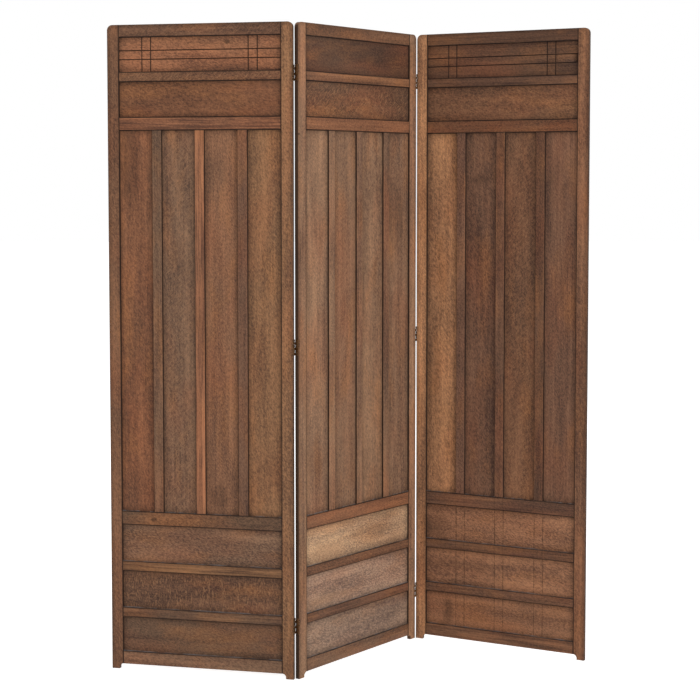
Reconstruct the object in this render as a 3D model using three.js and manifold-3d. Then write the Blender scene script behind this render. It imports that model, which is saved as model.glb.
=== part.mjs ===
// A folding screen of three oak leaves, hinged edge to edge with double-action screen hinges.
// Each leaf is a board-and-frame panel: two stiles, seven rails and three muntins hold four tall
// boards, two panels above them and three below. The screen stands in a zigzag on six small feet.
// Millimetres, +Z up, fronts towards -Y. Every leaf is drawn straight, then turned on its hinge line.
import * as THREE from 'three';
import { mergeVertices } from 'three/addons/utils/BufferGeometryUtils.js';
import Module from 'manifold-3d';

const wasm = await Module();
wasm.setup();

// Leaf
const leafHeight = 1700;
const leafWidth = 498;
const leafThickness = 12;
const stileWidth = 31;
const muntinWidth = 25;
const boardCount = 4;

// Heights of the rails and panels, foot to top; the tall boards take what is left between
const footRise = 14;
const bottomRailHeight = 34;
const basePanelLowHeight = 93;
const baseRailLowHeight = 25;
const basePanelMidHeight = 99;
const baseRailHighHeight = 25;
const basePanelTopHeight = 99;
const lowerRailHeight = 35;
const upperRailHeight = 33;
const friezePanelHeight = 93;
const friezeRailHeight = 24;
const topPanelHeight = 91;
const topRailHeight = 32;

// Panels and boards, let into grooves round their openings
const panelThickness = 5;
const panelRecess = 3.5;
const grooveDepth = 5;
const tenonInset = 8;
const fitGap = 0.3;

// Slip tongues that pass through the muntins of the middle leaf and tie its boards together
const slipTongueHeight = 30;
const slipTongueThickness = 3;
const slipTongueEndDistance = 180;

// Feet and corners
const footWidth = 21;
const footStep = 4;
const topCornerRadius = 14;

// Lines cut into the top panels of the outer leaves
const incisedWidth = 3;
const upperLineDrop = 35;
const lowerLineDrop = 58;
const outerLineInset = 63;
const innerLineInset = 87;

// Hinges
const hingeGap = 0.8;
const hingeHeight = 42;
const hingeTopDrop = 129;
const hingeMidDrop = 833;
const hingeFootRise = 139;
const plateThickness = 1.2;
const plateSink = 0.4;
const axisProud = 1.3;
const knuckleRadius = 1.2;
const pinRadius = 0.6;
const pinClearance = 0.2;
const knucklesPerHinge = 6;
const knuckleGap = 0.4;
const earThickness = 1;
const linkThickness = 1.2;
const linkClearance = 3.6;
const roundSides = 12;

// Stance: how far each leaf stands from straight, and how the middle leaf stands across the room
const middleLeafTurn = 50.5;
const leftLeafFold = 62.6;
const rightLeafFold = 77;

// Places worked out from the sizes above
const frontY = -leafThickness / 2;
const backY = leafThickness / 2;
const innerLeftX = -leafWidth / 2 + stileWidth;
const innerRightX = leafWidth / 2 - stileWidth;
const panelFrontY = frontY + panelRecess;
const panelBackY = panelFrontY + panelThickness;
const bottomRailZ = footRise;
const basePanelLowZ = bottomRailZ + bottomRailHeight;
const baseRailLowZ = basePanelLowZ + basePanelLowHeight;
const basePanelMidZ = baseRailLowZ + baseRailLowHeight;
const baseRailHighZ = basePanelMidZ + basePanelMidHeight;
const basePanelTopZ = baseRailHighZ + baseRailHighHeight;
const lowerRailZ = basePanelTopZ + basePanelTopHeight;
const boardLowZ = lowerRailZ + lowerRailHeight;
const topRailZ = leafHeight - topRailHeight;
const topPanelZ = topRailZ - topPanelHeight;
const friezeRailZ = topPanelZ - friezeRailHeight;
const friezePanelZ = friezeRailZ - friezePanelHeight;
const upperRailZ = friezePanelZ - upperRailHeight;
const boardWidth = (innerRightX - innerLeftX - (boardCount - 1) * muntinWidth) / boardCount;
const axisY = backY + axisProud;
const plateFaceX = hingeGap / 2 + plateSink;
const linePitch = leafWidth + hingeGap;
const hingeCentres = { top: leafHeight - hingeTopDrop, mid: leafHeight - hingeMidDrop, foot: hingeFootRise };

// Solids

function toSolid(geometry) {
  const plain = geometry.clone();
  plain.deleteAttribute('normal');
  plain.deleteAttribute('uv');
  const merged = mergeVertices(plain, 1e-4);
  return new wasm.Manifold(new wasm.Mesh({
    numProp: 3,
    vertProperties: new Float32Array(merged.attributes.position.array),
    triVerts: new Uint32Array(merged.index.array),
  }));
}

function toGeometry(solid) {
  const { vertProperties, triVerts } = solid.getMesh();
  const geometry = new THREE.BufferGeometry();
  geometry.setAttribute('position', new THREE.BufferAttribute(new Float32Array(vertProperties), 3));
  geometry.setIndex(new THREE.BufferAttribute(new Uint32Array(triVerts), 1));
  const faceted = geometry.toNonIndexed();
  faceted.computeVertexNormals();
  return faceted;
}

// A box between two corners; grow moves every face outwards
function box([x0, y0, z0], [x1, y1, z1], grow = 0) {
  const geometry = new THREE.BoxGeometry(x1 - x0 + 2 * grow, y1 - y0 + 2 * grow, z1 - z0 + 2 * grow);
  geometry.translate((x0 + x1) / 2, (y0 + y1) / 2, (z0 + z1) / 2);
  return toSolid(geometry);
}

function uprightCylinder(radius, x, y, z0, z1) {
  const geometry = new THREE.CylinderGeometry(radius, radius, z1 - z0, roundSides);
  geometry.rotateX(Math.PI / 2);
  geometry.translate(x, y, (z0 + z1) / 2);
  return toSolid(geometry);
}

// A flat outline drawn in X and Z, given the leaf's thickness
function slab(outline) {
  const geometry = new THREE.ExtrudeGeometry(outline, { depth: leafThickness, bevelEnabled: false, curveSegments: 8 });
  geometry.rotateX(Math.PI / 2);
  geometry.translate(0, backY, 0);
  return toSolid(geometry);
}

const joinAll = (solids) => solids.reduce((whole, part) => whole.add(part));
const cutAll = (solid, cutters) => cutters.reduce((rest, cutter) => rest.subtract(cutter), solid);

// Panels and boards: each opening is the part that shows, and the wood runs into a groove all round

const opening = (name, x0, x1, z0, z1) => ({ name, x0, x1, z0, z1 });

const boardOpenings = Array.from({ length: boardCount }, (_, index) => {
  const x0 = innerLeftX + index * (boardWidth + muntinWidth);
  return opening(`board_${index + 1}`, x0, x0 + boardWidth, boardLowZ, upperRailZ);
});

const panelOpenings = [
  opening('top_panel', innerLeftX, innerRightX, topPanelZ, topRailZ),
  opening('frieze_panel', innerLeftX, innerRightX, friezePanelZ, friezeRailZ),
  opening('base_panel_1', innerLeftX, innerRightX, basePanelTopZ, lowerRailZ),
  opening('base_panel_2', innerLeftX, innerRightX, basePanelMidZ, baseRailHighZ),
  opening('base_panel_3', innerLeftX, innerRightX, basePanelLowZ, baseRailLowZ),
];

// The wood that fills an opening; grow makes the groove that takes it
function infill({ x0, x1, z0, z1 }, grow = 0) {
  const tongue = grooveDepth - fitGap;
  return box([x0 - tongue, panelFrontY, z0 - tongue], [x1 + tongue, panelBackY, z1 + tongue], grow);
}

const infillGrooves = () => [...panelOpenings, ...boardOpenings].map((hole) => infill(hole, fitGap));

// Slip tongues reach from the first board to the last; grow makes the mortises in the muntins
function slipTongues(grow = 0) {
  const centreY = (panelFrontY + panelBackY) / 2;
  const heights = [boardLowZ + slipTongueEndDistance, upperRailZ - slipTongueEndDistance];
  return heights.map((z) => box(
    [boardOpenings[0].x1 - muntinWidth, centreY - slipTongueThickness / 2, z - slipTongueHeight / 2],
    [boardOpenings.at(-1).x0 + muntinWidth, centreY + slipTongueThickness / 2, z + slipTongueHeight / 2],
    grow,
  ));
}

// A V-shaped line sunk into the face of a panel, as the corner of a square bar
function incisedLine(length, x, z, upright) {
  const side = incisedWidth / Math.SQRT2;
  const geometry = new THREE.BoxGeometry(length, side, side);
  geometry.rotateX(Math.PI / 4);
  if (upright) {
    geometry.rotateY(Math.PI / 2);
  }
  geometry.translate(x, panelFrontY, z);
  return toSolid(geometry);
}

function incisedLines({ x0, x1, z0, z1 }) {
  const across = 2 * (x1 - x0);
  const height = 2 * (z1 - z0);
  const midX = (x0 + x1) / 2;
  const midZ = (z0 + z1) / 2;
  const uprightXs = [x0 + outerLineInset, x0 + innerLineInset, x1 - innerLineInset, x1 - outerLineInset];
  const crossDrops = [upperLineDrop, lowerLineDrop];
  return [
    ...crossDrops.map((drop) => incisedLine(across, midX, z1 - drop, false)),
    ...uprightXs.map((x) => incisedLine(height, x, midZ, true)),
  ];
}

// Rails: stub tenons at both ends, and mortises of the same shape in the stiles

const rails = [
  { name: 'top_rail', z0: topRailZ, z1: leafHeight },
  { name: 'frieze_rail', z0: friezeRailZ, z1: friezeRailZ + friezeRailHeight },
  { name: 'upper_rail', z0: upperRailZ, z1: upperRailZ + upperRailHeight },
  { name: 'lower_rail', z0: lowerRailZ, z1: lowerRailZ + lowerRailHeight },
  { name: 'base_rail_upper', z0: baseRailHighZ, z1: baseRailHighZ + baseRailHighHeight },
  { name: 'base_rail_lower', z0: baseRailLowZ, z1: baseRailLowZ + baseRailLowHeight },
  { name: 'bottom_rail', z0: bottomRailZ, z1: bottomRailZ + bottomRailHeight },
];

function tenons({ z0, z1 }, grow = 0) {
  const reach = grooveDepth - fitGap;
  return box([innerLeftX - reach, panelFrontY, z0 + tenonInset], [innerRightX + reach, panelBackY, z1 - tenonInset], grow);
}

function railSolid(rail) {
  const body = box([innerLeftX + fitGap, frontY, rail.z0], [innerRightX - fitGap, backY, rail.z1]);
  return body.add(tenons(rail));
}

// The ladder that frames the tall boards: upper rail, three muntins and lower rail, glued as one
function fieldFrame(throughCuts) {
  const muntins = boardOpenings.slice(0, -1).map(({ x1 }) => (
    box([x1, frontY, lowerRailZ + lowerRailHeight / 2], [x1 + muntinWidth, backY, upperRailZ + upperRailHeight / 2])
  ));
  const ends = rails.filter(({ name }) => name === 'upper_rail' || name === 'lower_rail').map(railSolid);
  return cutAll(joinAll([...ends, ...muntins]), [...infillGrooves(), ...throughCuts]);
}

// Stiles: the outer top corner is round, and the foot is coved on its inner side

function stileOutline() {
  const outerX = -leafWidth / 2;
  const coveRadius = stileWidth - footWidth;
  const outline = new THREE.Shape();
  outline.moveTo(outerX, 0);
  outline.lineTo(outerX + footWidth, 0);
  outline.lineTo(outerX + footWidth, footStep);
  outline.absarc(outerX + stileWidth, footStep, coveRadius, Math.PI, Math.PI / 2, true);
  outline.lineTo(innerLeftX, leafHeight);
  outline.lineTo(outerX + topCornerRadius, leafHeight);
  outline.absarc(outerX + topCornerRadius, leafHeight - topCornerRadius, topCornerRadius, Math.PI / 2, Math.PI, false);
  outline.closePath();
  return outline;
}

// The seat let into a stile's outer edge for each hinge plate
function plateSeats() {
  const outerX = -leafWidth / 2;
  return Object.values(hingeCentres).map((z) => box(
    [outerX - leafThickness, frontY - leafThickness, z - hingeHeight / 2 - fitGap],
    [outerX + plateSink + plateThickness + fitGap, backY + leafThickness, z + hingeHeight / 2 + fitGap],
  ));
}

// The left stile; the right one is the same piece turned round its leaf's middle
function stile(side, hinged) {
  const turn = side === 'right' ? (solid) => solid.mirror([1, 0, 0]) : (solid) => solid;
  const seats = hinged ? plateSeats() : [];
  const outside = turn(cutAll(slab(stileOutline()), seats));
  return cutAll(outside, [...infillGrooves(), ...rails.map((rail) => tenons(rail, fitGap))]);
}

// Hinges: seen from above, the plates face each other across the gap between two leaves, with a
// knuckle line in front and one behind. A link in the upper half belongs to the right-hand plate
// here, and one in the lower half to the left-hand plate, so the pair turns on the line behind.

function knuckleSpan(index) {
  const pitch = hingeHeight / knucklesPerHinge;
  const top = hingeHeight / 2 - index * pitch;
  return [top - pitch + knuckleGap / 2, top - knuckleGap / 2];
}

// The ear of a plate and the strap that reaches the knuckle's centre, on the right of the gap
function ear(sign, z0, z1) {
  const reach = sign * (axisY + earThickness / 2);
  const root = sign * (backY - plateThickness);
  const strapY = sign * axisY;
  return [
    box([plateFaceX, Math.min(root, reach), z0], [plateFaceX + plateThickness, Math.max(root, reach), z1]),
    box([0, strapY - earThickness / 2, z0], [plateFaceX + plateThickness, strapY + earThickness / 2, z1]),
  ];
}

// The half hinge on the right of the gap. Counted from the top, the line behind has the fourth and
// sixth knuckles on the plate and the second on the link; the others belong to the facing half.
function hingeHalf(withPin) {
  const half = hingeHeight / 2;
  const linkLow = knuckleGap / 2;
  const plate = box([plateFaceX, frontY, -half], [plateFaceX + plateThickness, backY, half]);
  const frontBarrel = uprightCylinder(knuckleRadius, 0, -axisY, linkLow, half);
  const linkKnuckle = knuckleSpan(1);
  const link = box([-linkThickness / 2, -axisY, linkLow], [linkThickness / 2, axisY - linkClearance, half]);
  const linkArm = box([-linkThickness / 2, 0, linkKnuckle[0]], [linkThickness / 2, axisY, linkKnuckle[1]]);
  const plateKnuckles = [knuckleSpan(3), knuckleSpan(5)];
  const knuckles = [linkKnuckle, ...plateKnuckles].map(([z0, z1]) => uprightCylinder(knuckleRadius, 0, axisY, z0, z1));
  const parts = [
    plate,
    frontBarrel,
    ...ear(-1, linkLow, half),
    link,
    linkArm,
    ...knuckles,
    ...plateKnuckles.flatMap(([z0, z1]) => ear(1, z0, z1)),
  ];
  const body = joinAll(parts);
  if (withPin) {
    return body.add(uprightCylinder(pinRadius, 0, axisY, -half, half));
  }
  return body.subtract(uprightCylinder(pinRadius + pinClearance, 0, axisY, -2 * half, 2 * half));
}

// Meshes

const oak = (color, roughness = 0.5) => ({ color, roughness, metalness: 0 });
const finishes = {
  stile: oak(0x7a5a43),
  top_rail: oak(0x6b4836),
  frieze_rail: oak(0x765540),
  field_frame: oak(0x6a4a3a),
  base_rail_upper: oak(0x755341),
  base_rail_lower: oak(0x735240),
  bottom_rail: oak(0x785843),
  top_panel: oak(0x6f4c39),
  frieze_panel: oak(0x7b5c46),
  base_panel_1: oak(0x7d5d45),
  base_panel_2: oak(0x7a5942),
  base_panel_3: oak(0x775640),
  board_1: oak(0x83603f),
  board_2: oak(0x6f5544),
  board_3: oak(0x7a5b43),
  board_4: oak(0x8a6645),
  boards: oak(0x745847),
  brass: { color: 0x54452f, roughness: 0.45, metalness: 0.9 },
};

function addMesh(group, name, solid, finish) {
  const mesh = new THREE.Mesh(toGeometry(solid), new THREE.MeshStandardMaterial(finishes[finish]));
  mesh.name = name;
  group.add(mesh);
  return mesh;
}

// One leaf, centred on X and standing on Z = 0. hingedSides lists the edges that carry hinges.
function makeLeaf(leafName, { hingedSides, incised, tiedBoards }) {
  const leaf = new THREE.Group();
  const add = (name, solid, finish = name) => addMesh(leaf, `${leafName}_${name}`, solid, finish);
  for (const side of ['left', 'right']) {
    add(`${side}_stile`, stile(side, hingedSides.includes(side)), 'stile');
  }
  for (const rail of rails.filter(({ name }) => name !== 'upper_rail' && name !== 'lower_rail')) {
    add(rail.name, cutAll(railSolid(rail), infillGrooves()));
  }
  add('field_frame', fieldFrame(tiedBoards ? slipTongues(fitGap) : []));
  for (const hole of panelOpenings) {
    const lines = incised && hole.name === 'top_panel' ? incisedLines(hole) : [];
    add(hole.name, cutAll(infill(hole), lines));
  }
  if (tiedBoards) {
    add('boards', joinAll([...boardOpenings.map((hole) => infill(hole)), ...slipTongues()]));
  } else {
    boardOpenings.forEach((hole) => add(hole.name, infill(hole)));
  }
  return leaf;
}

// The three hinges on one side of a hinge line, at x in the leaf's own frame. lower puts the link in
// the lower half, and turned puts the working knuckle line in front.
function addHinges(leaf, lineName, halfName, x, { lower, turned }) {
  for (const [place, z] of Object.entries(hingeCentres)) {
    const mesh = addMesh(leaf, `${lineName}_hinge_${place}_${halfName}`, hingeHalf(!lower), 'brass');
    mesh.position.set(x, 0, z);
    mesh.rotation.set(0, lower ? Math.PI : 0, turned ? Math.PI : 0, 'ZYX');
  }
}

// A leaf turned about an upright line at (x, y) of the group that it joins
function turnedAbout(leaf, x, y, leafOffset, degrees) {
  const pivot = new THREE.Group();
  pivot.position.set(x, y, 0);
  pivot.rotation.z = THREE.MathUtils.degToRad(degrees);
  leaf.position.set(leafOffset - x, -y, 0);
  pivot.add(leaf);
  return pivot;
}

const leftLeaf = makeLeaf('left_leaf', { hingedSides: ['right'], incised: true, tiedBoards: false });
const middleLeaf = makeLeaf('middle_leaf', { hingedSides: ['left', 'right'], incised: false, tiedBoards: true });
const rightLeaf = makeLeaf('right_leaf', { hingedSides: ['left'], incised: true, tiedBoards: false });

// The left line works on the knuckles behind, and the right line on the knuckles in front
addHinges(leftLeaf, 'left_line', 'outer', linePitch / 2, { lower: true, turned: false });
addHinges(middleLeaf, 'left_line', 'inner', -linePitch / 2, { lower: false, turned: false });
addHinges(middleLeaf, 'right_line', 'inner', linePitch / 2, { lower: false, turned: true });
addHinges(rightLeaf, 'right_line', 'outer', -linePitch / 2, { lower: true, turned: true });

const zigzag = new THREE.Group();
zigzag.rotation.z = THREE.MathUtils.degToRad(middleLeafTurn);
zigzag.add(middleLeaf);
zigzag.add(turnedAbout(leftLeaf, -linePitch / 2, axisY, -linePitch, -leftLeafFold));
zigzag.add(turnedAbout(rightLeaf, linePitch / 2, -axisY, linePitch, -rightLeafFold));

// The origin is the middle of the footprint, on the floor
const screen = new THREE.Group();
screen.add(zigzag);
screen.updateMatrixWorld(true);
const footprint = new THREE.Box3().setFromObject(zigzag, true).getCenter(new THREE.Vector3());
zigzag.position.set(-footprint.x, -footprint.y, 0);
screen.updateMatrixWorld(true);

export default screen;
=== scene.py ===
import math
import random

import bmesh
import bpy
from mathutils import Matrix, Vector


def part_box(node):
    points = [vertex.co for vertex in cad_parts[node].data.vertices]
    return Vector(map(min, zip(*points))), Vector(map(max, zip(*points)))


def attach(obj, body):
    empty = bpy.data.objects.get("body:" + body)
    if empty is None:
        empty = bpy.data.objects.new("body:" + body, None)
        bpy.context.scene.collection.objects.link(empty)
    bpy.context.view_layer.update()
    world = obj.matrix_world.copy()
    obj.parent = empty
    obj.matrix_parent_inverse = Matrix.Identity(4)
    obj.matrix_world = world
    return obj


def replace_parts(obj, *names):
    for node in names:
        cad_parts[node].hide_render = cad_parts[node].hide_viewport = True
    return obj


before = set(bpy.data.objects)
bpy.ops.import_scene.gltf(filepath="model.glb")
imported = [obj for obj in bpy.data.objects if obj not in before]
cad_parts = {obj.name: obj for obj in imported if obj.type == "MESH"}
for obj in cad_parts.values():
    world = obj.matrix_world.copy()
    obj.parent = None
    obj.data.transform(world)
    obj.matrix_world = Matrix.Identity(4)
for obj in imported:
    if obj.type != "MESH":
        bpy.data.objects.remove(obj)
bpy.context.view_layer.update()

print("frame loaded:", len(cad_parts), "nodes")


# ---- camera, floor and light

camera = {
    "place": (-0.0024, -4.3413, 1.2961),
    "tiltDown": 3.4,
    "lens": 83.28,
    "shiftY": -0.1046,
}
floorLook = {"size": 60.0, "color": (0.86, 0.86, 0.86), "glow": 0.62}
lights = {
    "sky": 0.62,
    "key": {"place": (4.0, -2.8, 3.0), "size": 3.0, "power": 125.0},
    "fill": {"place": (-3.0, -4.4, 2.2), "size": 3.0, "power": 30.0},
    "back": {"place": (0.0, 4.5, 3.2), "size": 3.0, "power": 60.0},
}
aimPoint = Vector((0.0, 0.0, 0.8))


def setUpCamera():
    data = bpy.data.cameras.new("camera")
    data.lens = camera["lens"]
    data.sensor_width = 36.0
    data.shift_y = camera["shiftY"]
    data.clip_end = 200.0
    eye = bpy.data.objects.new("camera", data)
    eye.location = camera["place"]
    eye.rotation_euler = (math.radians(90.0 - camera["tiltDown"]), 0.0, 0.0)
    bpy.context.scene.collection.objects.link(eye)
    bpy.context.scene.camera = eye


def addAreaLight(name, place, size, power):
    data = bpy.data.lights.new(name, "AREA")
    data.shape = "DISK"
    data.size = size
    data.energy = power
    lamp = bpy.data.objects.new(name, data)
    lamp.location = place
    lamp.rotation_euler = (aimPoint - Vector(place)).to_track_quat("-Z", "Y").to_euler()
    bpy.context.scene.collection.objects.link(lamp)


def seenByCamera(nodes, links):
    # true for the camera and for what shows in metal
    path = nodes.new("ShaderNodeLightPath")
    either = nodes.new("ShaderNodeMath")
    either.operation = "MAXIMUM"
    links.new(path.outputs["Is Camera Ray"], either.inputs[0])
    links.new(path.outputs["Is Glossy Ray"], either.inputs[1])
    return either.outputs[0]


def setUpSky():
    world = bpy.data.worlds.new("studio")
    bpy.context.scene.world = world
    world.use_nodes = True
    nodes, links = world.node_tree.nodes, world.node_tree.links
    nodes.clear()
    lit = nodes.new("ShaderNodeBackground")
    lit.inputs["Color"].default_value = (1.0, 1.0, 1.0, 1.0)
    lit.inputs["Strength"].default_value = lights["sky"]
    white = nodes.new("ShaderNodeBackground")
    white.inputs["Color"].default_value = (1.0, 1.0, 1.0, 1.0)
    path = nodes.new("ShaderNodeLightPath")
    mix = nodes.new("ShaderNodeMixShader")
    out = nodes.new("ShaderNodeOutputWorld")
    links.new(path.outputs["Is Camera Ray"], mix.inputs[0])
    links.new(lit.outputs[0], mix.inputs[1])
    links.new(white.outputs[0], mix.inputs[2])
    links.new(mix.outputs[0], out.inputs["Surface"])


def setUpFloor():
    half = floorLook["size"] / 2
    mesh = bpy.data.meshes.new("floor")
    corners = [(-half, -half, 0), (half, -half, 0), (half, half, 0), (-half, half, 0)]
    mesh.from_pydata(corners, [], [(0, 1, 2, 3)])
    floor = bpy.data.objects.new("floor", mesh)
    bpy.context.scene.collection.objects.link(floor)
    material = bpy.data.materials.new("paleFloor")
    material.use_nodes = True
    nodes, links = material.node_tree.nodes, material.node_tree.links
    nodes.clear()
    matte = nodes.new("ShaderNodeBsdfDiffuse")
    matte.inputs["Color"].default_value = (*floorLook["color"], 1.0)
    glow = nodes.new("ShaderNodeEmission")
    glowAmount = nodes.new("ShaderNodeMath")
    glowAmount.operation = "MULTIPLY"
    glowAmount.inputs[1].default_value = floorLook["glow"]
    links.new(seenByCamera(nodes, links), glowAmount.inputs[0])
    links.new(glowAmount.outputs[0], glow.inputs["Strength"])
    both = nodes.new("ShaderNodeAddShader")
    out = nodes.new("ShaderNodeOutputMaterial")
    links.new(matte.outputs[0], both.inputs[0])
    links.new(glow.outputs[0], both.inputs[1])
    links.new(both.outputs[0], out.inputs["Surface"])
    mesh.materials.append(material)


setUpCamera()
setUpSky()
setUpFloor()
for name in ("key", "fill", "back"):
    addAreaLight(name, **lights[name])
bpy.context.scene.view_settings.view_transform = "Standard"
print("camera, floor and light ready")


# ---- materials

def srgb(red, green, blue):
    # 0 to 255 as seen on screen, to the linear values that shaders take
    def linear(value):
        value = value / 255.0
        return value / 12.92 if value <= 0.04045 else ((value + 0.055) / 1.055) ** 2.4
    return (linear(red), linear(green), linear(blue))


class Shading:
    # short words for making and joining shader nodes
    def __init__(self, name):
        self.material = bpy.data.materials.new(name)
        self.material.use_nodes = True
        self.tree = self.material.node_tree
        self.tree.nodes.clear()
        self.surface = self.add("ShaderNodeBsdfPrincipled")
        out = self.add("ShaderNodeOutputMaterial")
        self.join(self.surface.outputs[0], out.inputs["Surface"])

    def add(self, kind, **settings):
        node = self.tree.nodes.new(kind)
        for key, value in settings.items():
            setattr(node, key, value)
        return node

    def join(self, source, target):
        if hasattr(source, "is_output"):
            self.tree.links.new(source, target)
        else:
            target.default_value = source

    def attribute(self, name):
        return self.add("ShaderNodeAttribute", attribute_name=name)

    def math(self, operation, first, second=0.0, clamp=False):
        node = self.add("ShaderNodeMath", operation=operation, use_clamp=clamp)
        self.join(first, node.inputs[0])
        self.join(second, node.inputs[1])
        return node.outputs[0]

    def stretch(self, vector, scale):
        node = self.add("ShaderNodeMapping")
        self.join(vector, node.inputs["Vector"])
        node.inputs["Scale"].default_value = scale
        return node.outputs[0]

    def noise(self, vector, scale=1.0, detail=2.0, roughness=0.5, distortion=0.0):
        node = self.add("ShaderNodeTexNoise")
        self.join(vector, node.inputs["Vector"])
        node.inputs["Scale"].default_value = scale
        node.inputs["Detail"].default_value = detail
        node.inputs["Roughness"].default_value = roughness
        node.inputs["Distortion"].default_value = distortion
        return node.outputs["Fac"]

    def span(self, value, low, high, toLow=0.0, toHigh=1.0, smooth=False):
        node = self.add("ShaderNodeMapRange", clamp=True)
        node.interpolation_type = "SMOOTHSTEP" if smooth else "LINEAR"
        self.join(value, node.inputs["Value"])
        for socket, number in zip(("From Min", "From Max", "To Min", "To Max"), (low, high, toLow, toHigh)):
            self.join(number, node.inputs[socket])
        return node.outputs["Result"]

    def blend(self, amount, first, second, mode="MIX"):
        node = self.add("ShaderNodeMix", data_type="RGBA", blend_type=mode)
        self.join(amount, node.inputs["Factor"])
        for socket, color in ((node.inputs[6], first), (node.inputs[7], second)):
            if isinstance(color, tuple) and len(color) == 3:
                color = (*color, 1.0)
            self.join(color, socket)
        return node.outputs[2]

    def swing(self, value, reach):
        # a noise value to -1 and 1, steeper for a smaller reach
        return self.span(value, 0.5 - reach, 0.5 + reach, -1.0, 1.0)

    def vector(self, operation, first, second, output="Vector"):
        node = self.add("ShaderNodeVectorMath", operation=operation)
        self.join(first, node.inputs[0])
        self.join(second, node.inputs[1])
        return node.outputs[output]

    def parts(self, vector):
        node = self.add("ShaderNodeSeparateXYZ")
        self.join(vector, node.inputs[0])
        return list(node.outputs)

    def lean(self, vector, degrees):
        # the same place seen in axes turned about the face's normal
        node = self.add("ShaderNodeMapping", vector_type="POINT")
        self.join(vector, node.inputs["Vector"])
        node.inputs["Rotation"].default_value = (0.0, math.radians(degrees), 0.0)
        return node.outputs[0]

    def bump(self, height, distance, strength=1.0, under=None):
        node = self.add("ShaderNodeBump")
        node.inputs["Distance"].default_value = distance
        node.inputs["Strength"].default_value = strength
        self.join(height, node.inputs["Height"])
        if under is not None:
            self.join(under, node.inputs["Normal"])
        return node.outputs["Normal"]


oak = {
    "cloud": 0.46,          # slow light and dark along a board
    "streak": 0.34,         # growth lines
    "speckle": 0.54,        # the fine broken grain seen all over the face
    "pore": 0.26,
    "line": 0.75,           # thin dark lines of long grain
    "stain": 0.40,          # grey-brown patches left by the fuming
    "glow": 0.40,           # warmer golden patches
    "fleck": 0.40,          # pale strokes and flames of quartered wood
    "ghost": 0.75,          # traces of uprights that once crossed the low panels
    "uprightPitch": 0.11525,
    "uprightWidth": 0.025,
    "shade": 0.42,          # painted shade where a panel meets its frame
    "frameShade": 0.14,     # the same on rails and stiles
    "rimShade": 0.42,       # painted shade along the outside of a leaf
    "rimWidth": 0.013,
    "jointWidth": 0.0021,
    "poreDepth": 0.00012,
    "darkSide": (0.46, 0.45, 0.50),
    "lightSide": (1.62, 1.56, 1.42),
    "fleckColor": srgb(178, 130, 92),
    # one dark colour for stains, marks and dirt in the joints, and for the painted shade
    "grimeAndShadeColor": srgb(42, 29, 23),
    "dustColor": srgb(128, 124, 124),
    "wearAndSheenColor": srgb(170, 128, 94),
    "redShade": srgb(140, 80, 52),
    "goldShade": srgb(156, 104, 64),
    "greyShade": srgb(88, 70, 58),
    "roughness": 0.62,
}


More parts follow.
